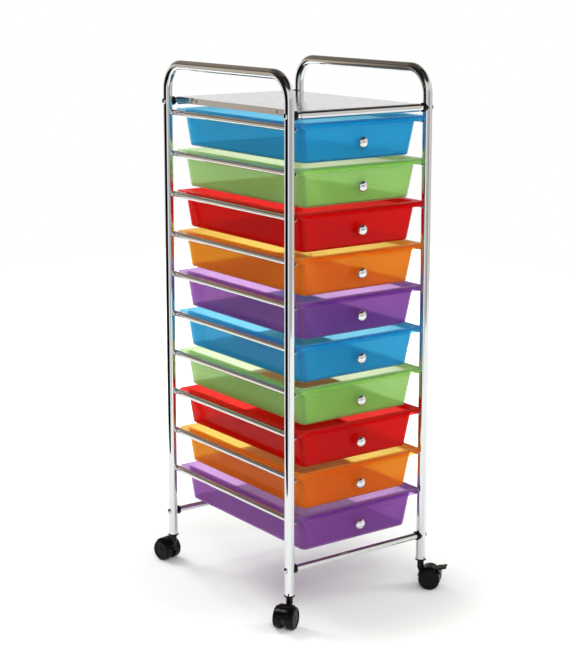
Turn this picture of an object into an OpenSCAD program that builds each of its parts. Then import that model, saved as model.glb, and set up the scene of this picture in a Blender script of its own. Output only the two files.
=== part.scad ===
// Plastic drawer tower: ten moulded drawers on a chromed tube frame with swivel casters.
// +Z is up, the drawer fronts face -Y, and the origin is on the floor under the frame's centre.

/* [Frame] */
// Distance between the left and the right upright centres
frame_w = 300; // [280:1:340]
// Distance between the front and the rear upright centres
frame_d = 381; // [360:1:420]
// Height of the handle tops above the floor
frame_h = 965; // [950:1:1050]
// Outer diameter of the bent hoop tube
hoop_d = 17.5; // [16:0.5:19]
// Wall of the hoop tube
hoop_wall = 1.2; // [1:0.1:1.6]
// Centre-line radius of the handle bends
bend_r = 46; // [35:1:60]
// Handle axis above the top crossbars' axis
handle_rise = 67.5; // [60:0.5:90]
// Bottom crossbars' axis above the tube ends
bottom_bar_rise = 45.5; // [25:0.5:55]

/* [Rails] */
// Diameter of the drawer rails
rail_d = 11; // [9:0.5:12]
// Wall of the rail tube
rail_wall = 1; // [0.8:0.1:1.4]
// Rail axis inboard of the upright axis
rail_inset = 9.5; // [9:0.1:10.5]
// First rail's axis below the top crossbars' axis
rail_drop = 21.5; // [21:0.5:24]
// Last rail's axis above the bottom crossbars' axis
last_rail_rise = 85.05; // [83:0.05:95]
// Gap left for the weld around a coped tube end
weld_gap = 0.05; // [0.02:0.01:0.1]

/* [Crossbars] */
// Diameter of the crossbars
bar_d = 12; // [10:0.5:13]
// Wall of the crossbar tube
bar_wall = 1; // [0.8:0.1:1.4]
// Diameter of the plastic saddle on a crossbar's end
saddle_d = 16.5; // [15:0.5:18]
// Distance from the upright axis to the crossbar's end
saddle_reach = 13; // [12:0.5:16]
// Distance from the upright axis to the tips of the saddle's ears
saddle_ear = 3.5; // [3:0.5:5]
// Length of the saddle's spigot inside the crossbar
spigot_len = 8; // [6:0.5:12]
// Length of the threaded plug inside the crossbar
plug_len = 12; // [8:0.5:16]
// Diameter of the frame bolts
bolt_d = 5; // [4:0.5:6]
// Diameter of the bolt head
bolt_head_d = 11; // [9:0.5:12]
// Height of the domed bolt head
bolt_head_h = 3.5; // [2.5:0.1:5]
// Length of bare plug beyond the bolt's tip
bolt_tip_gap = 2; // [1:0.5:4]
// Radial clearance of a bolt or a screw in its hole
bolt_gap = 0.2; // [0.1:0.05:0.4]
// Radial clearance of a plug, spigot or thread that fits tightly
fit_gap = 0.03; // [0.02:0.01:0.08]

/* [Top tray] */
// Sheet thickness of the tray
sheet_t = 1; // [0.8:0.1:1.5]
// Distance from the upright axis to the tray's side edge
tray_inset = 21; // [18:0.5:26]
// Clearance between a crossbar and the tray edge rolled over it
roll_gap = 0.1; // [0.05:0.05:0.3]
// Length of the roll's flat return under a crossbar
roll_return = 4; // [3:0.5:8]
// Height of the tray's side flanges
flange_h = 11; // [9:0.5:14]
// Distance from the crossbar axis to a side flange's end
flange_setback = 38; // [34:1:50]
// Distance from the crossbar axis to a brace's middle
brace_setback = 65; // [60:1:90]
// Width of a brace under the tray
brace_w = 20; // [14:1:30]
// Depth of a brace under the tray
brace_h = 9; // [7:0.5:9.5]
// Diameter of the tray rivets' shanks
rivet_d = 3; // [2.5:0.1:4]
// Diameter of the tray rivets' heads
rivet_head_d = 6; // [5:0.1:7]
// Height of the tray rivets' domed heads
rivet_head_h = 1.6; // [1.2:0.1:2.2]
// Diameter of the tray rivets' tails
rivet_tail_d = 4.5; // [4.2:0.1:6]

/* [Drawers] */
// Thickness of the drawers' walls and floor
drawer_wall = 2; // [1.6:0.1:3]
// Clearance between a drawer's bottom and the lip below it
drawer_gap = 6.5; // [5:0.5:12]
// Width of the lip that rests on the rail
lip_w = 13.5; // [13:0.1:16]
// Thickness of the lip
lip_t = 2.5; // [2:0.1:3.5]
// Clearance between the lip's side edge and the uprights
lip_side_gap = 1.2; // [0.8:0.1:1.6]
// Clearance between the lip and the rail below it
lip_rail_gap = 0.3; // [0.2:0.05:0.4]
// Corner radius of the lip seen from above
lip_corner_r = 6; // [4:0.5:8]
// Distance from the front upright axis to the lip's front edge
lip_front_reach = 8; // [7.5:0.1:12]
// Distance from the rear upright axis to the lip's rear edge
lip_rear_setback = 9.5; // [8:0.5:20]
// Width of the lip across the front
front_lip_w = 6.5; // [5:0.1:9]
// Width of the lip across the rear
rear_lip_w = 4.5; // [3:0.1:8]
// Height of the front lip's turned-down edge
skirt_h = 9.5; // [7:0.5:12]
// Thickness of the front lip's turned-down edge
skirt_t = 2.2; // [1.6:0.1:3]
// How far the sides draw in from top to bottom
side_taper = 11; // [6:0.5:14]
// How far the front draws in from top to bottom
front_taper = 8; // [4:0.5:10]
// How far the rear draws in from top to bottom
rear_taper = 2.5; // [0:0.5:8]
// Upright corner radius of the drawer body
body_corner_r = 10; // [8:0.5:14]
// Radius along the drawer's bottom edge
bottom_edge_r = 4; // [3:0.5:6]
// Distance from the drawer's rear to its moulded stop ribs
stop_rib_setback = 70; // [40:1:100]
// Height of a stop rib
stop_rib_h = 8; // [5:0.5:12]
// Width of a stop rib
stop_rib_w = 3; // [2:0.5:5]
// How far a stop rib stands out
stop_rib_proud = 1.2; // [0.8:0.1:2]

/* [Knobs] */
// Diameter of the knobs
knob_d = 20; // [16:0.5:24]
// How far a knob stands out
knob_h = 17.5; // [15:0.5:22]
// Diameter of a knob's foot
knob_foot_d = 9; // [8:0.5:11]
// Height of a knob's straight foot
knob_foot_h = 4; // [3:0.5:6]
// Height of the flare from the foot to the rim
knob_flare_h = 5; // [4:0.5:7]
// Knob axis below the rail axis
knob_drop = 29; // [22:0.5:36]
// Diameter of the knob screws
screw_d = 4; // [3:0.5:5]
// Depth of the screw inside the knob
screw_depth = 9; // [6:0.5:11]
// Diameter of the screw's head
screw_head_d = 8; // [7:0.5:10]
// Height of the screw's head
screw_head_h = 2.4; // [1.8:0.1:3.2]

/* [Casters] */
// Diameter of the caster wheels
wheel_d = 40; // [36:0.5:46]
// Width of one caster wheel
wheel_w = 14.5; // [12:0.5:18]
// Radius of a wheel's outer shoulder
wheel_shoulder_r = 4; // [3:0.5:5]
// Width of the rim around a wheel's sunk outer face
wheel_rim_w = 6; // [5:0.5:8]
// Depth of a wheel's sunk outer face
wheel_dish = 1; // [0.5:0.1:1.2]
// Distance from the swivel axis to the wheels' axle
caster_trail = 18; // [15:0.5:19]
// Rise from the wheels' axle to the top of the swivel neck
neck_rise = 30.5; // [29:0.5:40]
// Diameter of the swivel neck
neck_d = 12; // [11.5:0.5:14]
// Thickness of the hood's web between the wheels
web_t = 8; // [7:0.5:10]
// Clearance between a wheel and the hood's web
web_gap = 0.5; // [0.4:0.1:0.8]
// Width of the hood over the wheels
fender_w = 24; // [18:0.5:30]
// Thickness of the hood over the wheels
fender_t = 1.8; // [1.4:0.1:2.4]
// Clearance between the hood and the wheels
fender_gap = 0.8; // [0.6:0.1:1.2]
// Diameter of the wheels' axle
axle_d = 4; // [3:0.5:5]
// Length of axle inside a wheel
axle_grip = 11.5; // [8:0.5:11.5]
// Clearance past the axle's end in a wheel's blind bore
axle_end_gap = 0.5; // [0.3:0.1:0.6]
// Radius of the hood's web below the axle
hub_r = 8; // [7:0.5:10]
// Radial running clearance of shafts in their bores
run_gap = 0.05; // [0.03:0.01:0.08]
// Diameter of the swivel stem
stem_d = 7; // [6:0.5:8]
// Length of the stem inside the neck
stem_grip = 12; // [9:0.5:12.5]
// Length of the stem inside the tube socket
stem_len = 28; // [22:1:34]
// Clearance under the socket's flange
swivel_gap = 0.5; // [0.3:0.1:0.8]
// Diameter of the socket's flange
socket_flange_d = 20; // [19.5:0.5:24]
// Height of the socket's flange
socket_flange_h = 3.5; // [2.5:0.5:5]
// Length of the socket's sleeve inside the tube
socket_len = 32; // [26:1:38]

/* [Caster headings] */
// Direction that the front left caster trails towards
heading_fl = 214; // [0:1:359]
// Direction that the front right caster trails towards
heading_fr = 311; // [0:1:359]
// Direction that the rear left caster trails towards
heading_rl = 102; // [0:1:359]
// Direction that the rear right caster trails towards
heading_rr = 60; // [0:1:359]

/* [Brake levers] */
// Angle of the brake lever's pivot above the trailing side
lever_pivot_angle = 45; // [42:1:48]
// Distance from the wheels' treads in to the lever's pivot
lever_pivot_depth = 4; // [3.5:0.5:5]
// Diameter of the lever's pivot pin
lever_pin_d = 3; // [2.5:0.1:3.5]
// Thickness of the lever's lug
lever_lug_t = 3.2; // [2.6:0.1:3.6]
// Clearance on each side of the lever's lug
lever_lug_gap = 0.3; // [0.2:0.05:0.4]
// Wall of the lever's lug around the pivot pin
lever_lug_wall = 2.2; // [1.8:0.1:2.6]
// Clearance between the lug and the end of its slot
lever_slot_gap = 0.6; // [0.4:0.1:0.8]
// Clearance between the raised brake shoe and the wheels
shoe_gap = 1.3; // [1.2:0.1:1.6]
// Thickness of the brake shoe
shoe_t = 2.2; // [1.8:0.1:2.8]
// Width of the brake shoe and its tab
shoe_w = 21; // [18:0.5:24]
// Distance from the swivel axis to the tab's end
tab_reach = 49; // [44:0.5:54]
// Height of the tab's top above the shoe's upper end
tab_rise = 3.3; // [2.8:0.1:4.5]
// Thickness of the tab at its end
tab_t = 2.2; // [1.8:0.1:2.8]

/* [Hidden] */
$fn = 48;

// One drawer, knob and pair of rails for each drawer node
drawer_count = 10;

// Extra length that a cutting shape reaches past what it cuts
cut = 1;
hoop_r = hoop_d / 2;
hoop_bore_r = hoop_r - hoop_wall;
rail_r = rail_d / 2;
bar_r = bar_d / 2;
bar_bore_r = bar_r - bar_wall;
bolt_hole_r = bolt_d / 2 + bolt_gap;

axle_z = wheel_d / 2;
neck_top_z = axle_z + neck_rise;
neck_low_z = neck_top_z - stem_grip;
tube_end_z = neck_top_z + swivel_gap + socket_flange_h;
handle_z = frame_h - hoop_r;
bend_z = handle_z - bend_r;
top_bar_z = handle_z - handle_rise;
bottom_bar_z = tube_end_z + bottom_bar_rise;
bar_len = frame_w - 2 * saddle_reach;
rail_x = frame_w / 2 - rail_inset;
first_rail_z = top_bar_z - rail_drop;
rail_pitch = (first_rail_z - bottom_bar_z - last_rail_rise) / (drawer_count - 1);
function rail_z(i) = first_rail_z - (i - 1) * rail_pitch;

roll_in_r = bar_r + roll_gap;
roll_out_r = roll_in_r + sheet_t;
tray_half_w = frame_w / 2 - tray_inset;
tray_top_z = top_bar_z + roll_out_r;
tray_under_z = tray_top_z - sheet_t;
flange_half_l = frame_d / 2 - flange_setback;
brace_y = frame_d / 2 - brace_setback;
rivet_z = tray_top_z - flange_h / 2;

lip_low = rail_r + lip_rail_gap;
lip_top = lip_low + lip_t;
drawer_drop = rail_pitch - lip_top - drawer_gap;
lip_half_w = frame_w / 2 - hoop_r - lip_side_gap;
lip_front_y = -frame_d / 2 - lip_front_reach;
lip_rear_y = frame_d / 2 - lip_rear_setback;
body_h = lip_top + drawer_drop;
body_half_w = lip_half_w - lip_w;
body_front_y = lip_front_y + front_lip_w;
body_rear_y = lip_rear_y - rear_lip_w;
front_lean = atan(front_taper / body_h);
side_lean = atan(side_taper / body_h);
knob_face_y = body_front_y + front_taper * (lip_top + knob_drop) / body_h;
knob_dome_h = knob_h - knob_foot_h - knob_flare_h;
// Thickness of the leaning front along the knob's axis
knob_wall = drawer_wall * cos(front_lean);
drawer_colors = ["#1f9bd0", "#86bf58", "#c4101c", "#d9631c", "#5f3c96"];

fender_in_r = wheel_d / 2 + fender_gap;
fender_out_r = fender_in_r + fender_t;
wheel_face = web_t / 2 + web_gap;
shoe_in_r = wheel_d / 2 + shoe_gap;
shoe_out_r = shoe_in_r + shoe_t;
// Directions around the axle, counted up from the trailing side
fender_low_angle = 18;
fender_braked_angle = 62;
fender_front_angle = 155;
shoe_low_angle = 22;
shoe_high_angle = 58;
tab_knee_angle = 48;
slot_low_angle = 16;
slot_high_angle = 57;
lug_spread = 9;
lever_pivot_r = wheel_d / 2 - lever_pivot_depth;
lever_boss_r = lever_pin_d / 2 + lever_lug_wall;
lever_slot_r = lever_boss_r + lever_slot_gap;

function upright_x(side) = side * frame_w / 2;
function upright_y(end) = end * frame_d / 2;

// Stands its children at one upright, with +X pointing away from the frame's middle.
module at_upright(side, end) {
    translate([upright_x(side), upright_y(end), 0])
        mirror([side > 0 ? 0 : 1, 0, 0])
            children();
}

// A cylinder lying along X.
module rod_x(r, length) {
    rotate([0, 90, 0])
        cylinder(r = r, h = length);
}

// A domed cap of the given foot diameter and height, rising along +Z.
module dome(d, h) {
    ball_r = (d * d / 4 + h * h) / (2 * h);
    intersection() {
        translate([0, 0, h - ball_r])
            sphere(r = ball_r);
        cylinder(r = d / 2, h = h + cut);
    }
}

// Plan of a rectangle with round corners.
module round_plan(half_w, front_y, rear_y, corner_r) {
    translate([-half_w + corner_r, front_y])
        square([2 * (half_w - corner_r), rear_y - front_y]);
    translate([-half_w, front_y + corner_r])
        square([2 * half_w, rear_y - front_y - 2 * corner_r]);
    for (x = [-half_w + corner_r, half_w - corner_r], y = [front_y + corner_r, rear_y - corner_r])
        translate([x, y])
            circle(r = corner_r);
}

// One level of a drawer's skin: a ring of points at height z.
function skin_ring(half_w, front_y, rear_y, corner_r, z) =
    let (corners = [[1, 1], [-1, 1], [-1, -1], [1, -1]], steps = 8)
    [for (q = [0:3], s = [0:steps])
        let (a = 90 * q + 90 * s / steps,
             cx = corners[q][0] * (half_w - corner_r),
             cy = corners[q][1] > 0 ? rear_y - corner_r : front_y + corner_r)
        [cx + corner_r * cos(a), cy + corner_r * sin(a), z]];

// Closed skin through a stack of rings, the lowest first.
module skin(rings) {
    n = len(rings[0]);
    top = len(rings) - 1;
    sides = [for (k = [0:top - 1], i = [0:n - 1])
        [k * n + i, (k + 1) * n + i, (k + 1) * n + (i + 1) % n, k * n + (i + 1) % n]];
    polyhedron(
        points = [for (ring = rings, p = ring) p],
        faces = concat([[for (i = [0:n - 1]) i]], sides, [[for (i = [n - 1:-1:0]) top * n + i]]),
        convexity = 4);
}

// The drawer's tapered form, drawn in by a wall's thickness and carried past its top.
module drawer_form(wall, above) {
    edge_r = bottom_edge_r - wall;
    corner_r = body_corner_r - wall;
    low = wall - drawer_drop;
    function level(z, inset) =
        let (t = (lip_top - z) / body_h)
        skin_ring(body_half_w - wall - t * side_taper - inset,
                  body_front_y + wall + t * front_taper + inset,
                  body_rear_y - wall - t * rear_taper - inset,
                  corner_r - inset / 2, z);
    skin([for (a = [0, 30, 60, 90]) level(low + edge_r * (1 - cos(a)), edge_r * (1 - sin(a))),
          level(lip_top + above, 0)]);
}

// Centre line of a hoop, swept with a round section of radius r.
module hoop_sweep(r, below) {
    for (end = [-1, 1])
        mirror([0, end > 0 ? 0 : 1, 0]) {
            translate([0, frame_d / 2, tube_end_z - below])
                cylinder(r = r, h = bend_z - tube_end_z + below);
            translate([0, frame_d / 2 - bend_r, bend_z])
                rotate([90, 0, 90])
                    rotate_extrude(angle = 90)
                        translate([bend_r, 0])
                            circle(r = r);
        }
    translate([0, bend_r - frame_d / 2, handle_z])
        rotate([-90, 0, 0])
            cylinder(r = r, h = frame_d - 2 * bend_r);
}

// Bent tube that makes two uprights and the handle between them.
module hoop(side) {
    color("#c9cbcd")
        translate([upright_x(side), 0, 0])
            difference() {
                hoop_sweep(hoop_r, 0);
                hoop_sweep(hoop_bore_r, cut);
                for (end = [-1, 1], z = [top_bar_z, bottom_bar_z])
                    translate([-hoop_d, upright_y(end), z])
                        rod_x(bolt_hole_r, 2 * hoop_d);
            }
}

// Rails of one side, each coped to the front and the rear upright.
module rails(side) {
    color("#c9cbcd")
        for (i = [1:drawer_count])
            difference() {
                translate([side * rail_x, -frame_d / 2, rail_z(i)])
                    rotate([-90, 0, 0])
                        difference() {
                            cylinder(r = rail_r, h = frame_d);
                            translate([0, 0, -cut])
                                cylinder(r = rail_r - rail_wall, h = frame_d + 2 * cut);
                        }
                for (end = [-1, 1])
                    translate([upright_x(side), upright_y(end), rail_z(i) - rail_d])
                        cylinder(r = hoop_r + weld_gap, h = 2 * rail_d);
            }
}

// Tube between a left and a right upright.
module crossbar(end, z) {
    color("#c9cbcd")
        translate([-bar_len / 2, upright_y(end), z])
            difference() {
                rod_x(bar_r, bar_len);
                translate([-cut, 0, 0])
                    rod_x(bar_bore_r, bar_len + 2 * cut);
            }
}

// Sets its children at each of the eight crossbar ends.
module at_bar_ends() {
    for (side = [-1, 1], end = [-1, 1], z = [top_bar_z, bottom_bar_z])
        at_upright(side, end)
            translate([0, 0, z])
                children();
}

// Plastic saddle between an upright and a crossbar, with a spigot in the crossbar.
module saddle() {
    difference() {
        union() {
            translate([-saddle_reach, 0, 0])
                rod_x(saddle_d / 2, saddle_reach - saddle_ear);
            translate([-saddle_reach - spigot_len, 0, 0])
                rod_x(bar_bore_r - fit_gap, spigot_len + cut);
        }
        translate([0, 0, -saddle_d])
            cylinder(r = hoop_r + weld_gap, h = 2 * saddle_d);
        translate([-saddle_reach - spigot_len - cut, 0, 0])
            rod_x(bolt_hole_r, saddle_reach + spigot_len + cut);
    }
}

// Threaded steel plug pressed into a crossbar's end.
module plug() {
    translate([-saddle_reach - spigot_len - plug_len, 0, 0])
        difference() {
            rod_x(bar_bore_r - fit_gap, plug_len);
            translate([-cut, 0, 0])
                rod_x(bolt_d / 2 + fit_gap, plug_len + 2 * cut);
        }
}

// Bolt through an upright and a saddle into the plug.
module frame_bolt() {
    tip_x = -saddle_reach - spigot_len - plug_len + bolt_tip_gap;
    translate([tip_x, 0, 0])
        rod_x(bolt_d / 2, hoop_r - tip_x + cut / 2);
    translate([hoop_r, 0, 0])
        rotate([0, 90, 0])
            dome(bolt_head_d, bolt_head_h);
}

module crossbar_saddles() {
    color("#17181a")
        at_bar_ends()
            saddle();
}

module crossbar_plugs() {
    color("#8d9094")
        at_bar_ends()
            plug();
}

module frame_bolts() {
    color("#b9bbbd")
        at_bar_ends()
            frame_bolt();
}

// Section of the tray's rolled front or rear edge, open towards the tray's middle.
module roll_section() {
    difference() {
        circle(r = roll_out_r);
        circle(r = roll_in_r);
        translate([0, -2 * roll_out_r])
            square(4 * roll_out_r);
    }
    translate([0, -roll_out_r])
        square([roll_return, sheet_t]);
}

// Sheet tray rolled over the top crossbars, with turned-down sides.
module top_tray() {
    color("#d9d8da")
        difference() {
            union() {
                rotate([90, 0, 90])
                    linear_extrude(height = 2 * tray_half_w, center = true) {
                        for (end = [-1, 1])
                            translate([upright_y(end), top_bar_z])
                                mirror([end > 0 ? 1 : 0, 0])
                                    roll_section();
                        translate([-frame_d / 2, tray_under_z])
                            square([frame_d, sheet_t]);
                    }
                for (side = [-1, 1])
                    translate([side * (tray_half_w - sheet_t / 2) - sheet_t / 2, -flange_half_l,
                               tray_top_z - flange_h])
                        cube([sheet_t, 2 * flange_half_l, flange_h]);
            }
            at_rivets()
                translate([0, 0, -2 * sheet_t])
                    cylinder(r = rivet_d / 2 + fit_gap, h = 3 * sheet_t);
        }
}

// Sets its children at each rivet, +Z pointing out of the flange's outer face.
module at_rivets() {
    for (side = [-1, 1], end = [-1, 1])
        translate([side * tray_half_w, end * brace_y, rivet_z])
            rotate([0, side * 90, 0])
                children();
}

// Folded channels that stiffen the tray, riveted to its flanges.
module tray_braces() {
    color("#c9c9cb")
        difference() {
            for (end = [-1, 1])
                translate([0, end * brace_y, tray_under_z - brace_h])
                    difference() {
                        translate([sheet_t - tray_half_w, -brace_w / 2, 0])
                            cube([2 * (tray_half_w - sheet_t), brace_w, brace_h]);
                        translate([2 * sheet_t - tray_half_w, sheet_t - brace_w / 2, -cut])
                            cube([2 * (tray_half_w - 2 * sheet_t), brace_w - 2 * sheet_t,
                                  brace_h - sheet_t + cut]);
                    }
            at_rivets()
                translate([0, 0, -3 * sheet_t])
                    cylinder(r = rivet_d / 2 + fit_gap, h = 3 * sheet_t);
        }
}

module tray_rivets() {
    color("#b9bbbd")
        at_rivets() {
            translate([0, 0, -2 * sheet_t])
                cylinder(r = rivet_d / 2, h = 2 * sheet_t + cut / 2);
            dome(rivet_head_d, rivet_head_h);
            translate([0, 0, -2 * sheet_t])
                mirror([0, 0, 1])
                    dome(rivet_tail_d, rivet_head_h);
        }
}

// Sets its children at a drawer's knob, +Z pointing out of the leaning front.
module at_knob() {
    translate([0, knob_face_y, -knob_drop])
        rotate([90 + front_lean, 0, 0])
            children();
}

// Turned-down front edge, which follows the lip round its front corners.
module drawer_skirt() {
    translate([0, 0, lip_top - skirt_h])
        linear_extrude(height = skirt_h)
            intersection() {
                difference() {
                    round_plan(lip_half_w, lip_front_y, lip_rear_y, lip_corner_r);
                    round_plan(lip_half_w - skirt_t, lip_front_y + skirt_t, lip_rear_y - skirt_t,
                               lip_corner_r - skirt_t);
                }
                translate([-lip_half_w, lip_front_y])
                    square([2 * lip_half_w, lip_corner_r]);
            }
}

// Moulded drawer, drawn with the rail axis at z = 0.
module drawer_shell() {
    stop_z = stop_rib_h / 2 + bottom_edge_r - drawer_drop;
    stop_x = body_half_w - side_taper * (lip_top - stop_z) / body_h;
    difference() {
        union() {
            drawer_form(0, 0);
            translate([0, 0, lip_low])
                linear_extrude(height = lip_t)
                    round_plan(lip_half_w, lip_front_y, lip_rear_y, lip_corner_r);
            drawer_skirt();
            for (side = [-1, 1])
                translate([side * stop_x, body_rear_y - stop_rib_setback, stop_z])
                    rotate([0, side * side_lean, 0])
                        cube([2 * stop_rib_proud, stop_rib_w, stop_rib_h], center = true);
        }
        drawer_form(drawer_wall, cut);
        at_knob()
            translate([0, 0, -4 * drawer_wall])
                cylinder(r = screw_d / 2 + bolt_gap, h = 5 * drawer_wall);
    }
}

module drawer(i) {
    color(drawer_colors[(i - 1) % 5])
        translate([0, 0, rail_z(i)])
            drawer_shell();
}

// Turned knob with a blind threaded hole in its foot.
module knob_body() {
    difference() {
        union() {
            cylinder(r = knob_foot_d / 2, h = knob_foot_h);
            translate([0, 0, knob_foot_h])
                cylinder(r1 = knob_foot_d / 2, r2 = knob_d / 2, h = knob_flare_h);
            translate([0, 0, knob_foot_h + knob_flare_h])
                dome(knob_d, knob_dome_h);
        }
        translate([0, 0, -cut])
            cylinder(r = screw_d / 2 + fit_gap, h = screw_depth + 2 * cut);
    }
}

// Pan-head screw from inside the drawer.
module knob_screw() {
    translate([0, 0, -knob_wall])
        cylinder(r = screw_d / 2, h = knob_wall + screw_depth);
    translate([0, 0, -knob_wall])
        mirror([0, 0, 1])
            dome(screw_head_d, screw_head_h);
}

module knob(i) {
    color("#cfd1d3")
        translate([0, 0, rail_z(i)])
            at_knob() {
                knob_body();
                knob_screw();
            }
}

// Sleeves with flanges, pressed into the four tube ends.
module caster_sockets() {
    color("#17181a")
        for (side = [-1, 1], end = [-1, 1])
            at_upright(side, end)
                translate([0, 0, tube_end_z])
                    difference() {
                        union() {
                            translate([0, 0, -socket_flange_h])
                                cylinder(r1 = neck_d / 2 + swivel_gap, r2 = socket_flange_d / 2,
                                         h = socket_flange_h);
                            cylinder(r = hoop_bore_r - fit_gap, h = socket_len);
                        }
                        translate([0, 0, -socket_flange_h - cut])
                            cylinder(r = stem_d / 2 + run_gap, h = socket_flange_h + stem_len + 2 * cut);
                    }
}

// Stands its children at a caster, +X pointing the way that its wheels trail.
module at_caster(side, end, heading) {
    translate([upright_x(side), upright_y(end), 0])
        rotate([0, 0, heading])
            children();
}

// Swivel stem, fixed in the hood's neck and turning in the tube socket.
module stem() {
    color("#8d9094")
        translate([0, 0, neck_low_z])
            cylinder(r = stem_d / 2, h = stem_grip + swivel_gap + socket_flange_h + stem_len);
}

// Point at a distance and a direction from the axle, in the plane of X and Z.
function from_axle(r, angle) = [caster_trail + r * cos(angle), axle_z + r * sin(angle)];

// Part of a ring around the axle between two directions, in the plane of X and Z.
module ring_sector(inner_r, outer_r, low_angle, high_angle, width) {
    far = 2 * outer_r;
    mid_angle = (low_angle + high_angle) / 2;
    translate([caster_trail, width / 2, axle_z])
        rotate([90, 0, 0])
            linear_extrude(height = width)
                intersection() {
                    difference() {
                        circle(r = outer_r);
                        circle(r = inner_r);
                    }
                    polygon([[0, 0],
                             far * [cos(low_angle), sin(low_angle)],
                             2 * far * [cos(mid_angle), sin(mid_angle)],
                             far * [cos(high_angle), sin(high_angle)]]);
                }
}

// A disc across the caster, centred at a direction and a distance from the axle.
module cross_disc(distance, angle, r, width) {
    translate([caster_trail + distance * cos(angle), width / 2, axle_z + distance * sin(angle)])
        rotate([90, 0, 0])
            cylinder(r = r, h = width);
}

// Plate that ties the neck to the web and to the hood's front end.
module hood_gusset() {
    translate([0, web_t / 2, 0])
        rotate([90, 0, 0])
            linear_extrude(height = web_t)
                polygon([[-neck_d / 2, neck_low_z + cut], [neck_d / 2, neck_low_z + cut],
                         [caster_trail, axle_z], from_axle(fender_out_r, fender_front_angle)]);
}

// Moulded hood: neck, web between the wheels and cover over their treads.
module hood(braked) {
    color("#1b1c1e")
        difference() {
            union() {
                translate([0, 0, neck_low_z])
                    cylinder(r = neck_d / 2, h = stem_grip);
                intersection() {
                    cross_disc(0, 0, fender_out_r, web_t);
                    translate([-caster_trail, -web_t, axle_z])
                        cube([4 * caster_trail, 2 * web_t, wheel_d]);
                }
                cross_disc(0, 0, hub_r, web_t);
                hood_gusset();
                ring_sector(fender_in_r, fender_out_r, fender_low_angle, fender_front_angle, fender_w);
            }
            translate([0, 0, neck_low_z])
                cylinder(r = stem_d / 2 + fit_gap, h = stem_grip + cut);
            cross_disc(0, 0, axle_d / 2 + fit_gap, 2 * web_t);
            if (braked) {
                cross_disc(lever_pivot_r, lever_pivot_angle, lever_slot_r,
                           lever_lug_t + 2 * lever_lug_gap);
                ring_sector(lever_pivot_r, 2 * fender_out_r, slot_low_angle, slot_high_angle,
                            lever_lug_t + 2 * lever_lug_gap);
                ring_sector(fender_in_r - shoe_gap, 2 * fender_out_r, 0, fender_braked_angle,
                            fender_w + 2 * cut);
                cross_disc(lever_pivot_r, lever_pivot_angle, lever_pin_d / 2 + run_gap, 2 * web_t);
            }
        }
}

// Steel axle through the web and both wheels.
module axle() {
    color("#8d9094")
        cross_disc(0, 0, axle_d / 2, 2 * (wheel_face + axle_grip));
}

// One wheel, on the +Y side of the web for which = 1 and on the -Y side for which = -1.
module wheel(which) {
    color("#141516")
        translate([caster_trail, 0, axle_z])
            mirror([0, which > 0 ? 0 : 1, 0])
                translate([0, wheel_face, 0])
                    rotate([-90, 0, 0])
                        difference() {
                            rotate_extrude()
                                difference() {
                                    union() {
                                        square([wheel_d / 2 - wheel_shoulder_r, wheel_w]);
                                        square([wheel_d / 2, wheel_w - wheel_shoulder_r]);
                                        translate([wheel_d / 2 - wheel_shoulder_r,
                                                   wheel_w - wheel_shoulder_r])
                                            circle(r = wheel_shoulder_r);
                                    }
                                    translate([-cut, wheel_w - wheel_dish])
                                        square([wheel_d / 2 - wheel_rim_w + cut, wheel_dish + cut]);
                                }
                            translate([0, 0, -cut])
                                cylinder(r = axle_d / 2 + run_gap, h = cut + axle_grip + axle_end_gap);
                        }
}

// Foot lever with a shoe over the wheels' treads and a pin in the hood's web.
module brake_lever() {
    lug_top = shoe_in_r + shoe_t / 2;
    color("#1b1c1e") {
        ring_sector(shoe_in_r, shoe_out_r, shoe_low_angle, shoe_high_angle, shoe_w);
        cross_disc(lever_pivot_r, lever_pivot_angle, lever_pin_d / 2, web_t);
        cross_disc(lever_pivot_r, lever_pivot_angle, lever_boss_r, lever_lug_t);
        ring_sector(lever_pivot_r, lug_top, lever_pivot_angle - lug_spread,
                    lever_pivot_angle + lug_spread, lever_lug_t);
        translate([0, shoe_w / 2, 0])
            rotate([90, 0, 0])
                linear_extrude(height = shoe_w)
                    polygon(lever_tab());
    }
}

// Outline of the lever's tab, from the shoe's upper end to the tab's end.
function lever_tab() =
    let (root = from_axle(shoe_out_r, shoe_high_angle),
         heel = from_axle(shoe_in_r, shoe_high_angle),
         knee = from_axle(shoe_in_r, tab_knee_angle),
         tab_z = root[1] + tab_rise)
    [heel, knee, [tab_reach, tab_z - tab_t], [tab_reach, tab_z], root];

hoop(-1);  // hoop_left
hoop(1);  // hoop_right
rails(-1);  // rails_left
rails(1);  // rails_right
crossbar(-1, top_bar_z);  // crossbar_top_front
crossbar(1, top_bar_z);  // crossbar_top_rear
crossbar(-1, bottom_bar_z);  // crossbar_bottom_front
crossbar(1, bottom_bar_z);  // crossbar_bottom_rear
crossbar_saddles();
crossbar_plugs();
frame_bolts();
top_tray();
tray_braces();
tray_rivets();
drawer(1);  // drawer_1
drawer(2);  // drawer_2
drawer(3);  // drawer_3
drawer(4);  // drawer_4
drawer(5);  // drawer_5
drawer(6);  // drawer_6
drawer(7);  // drawer_7
drawer(8);  // drawer_8
drawer(9);  // drawer_9
drawer(10);  // drawer_10
knob(1);  // knob_1
knob(2);  // knob_2
knob(3);  // knob_3
knob(4);  // knob_4
knob(5);  // knob_5
knob(6);  // knob_6
knob(7);  // knob_7
knob(8);  // knob_8
knob(9);  // knob_9
knob(10);  // knob_10
caster_sockets();
at_caster(-1, -1, heading_fl) stem();  // caster_stem_fl
at_caster(1, -1, heading_fr) stem();  // caster_stem_fr
at_caster(-1, 1, heading_rl) stem();  // caster_stem_rl
at_caster(1, 1, heading_rr) stem();  // caster_stem_rr
at_caster(-1, -1, heading_fl) hood(true);  // caster_hood_fl
at_caster(1, -1, heading_fr) hood(true);  // caster_hood_fr
at_caster(-1, 1, heading_rl) hood(false);  // caster_hood_rl
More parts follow.
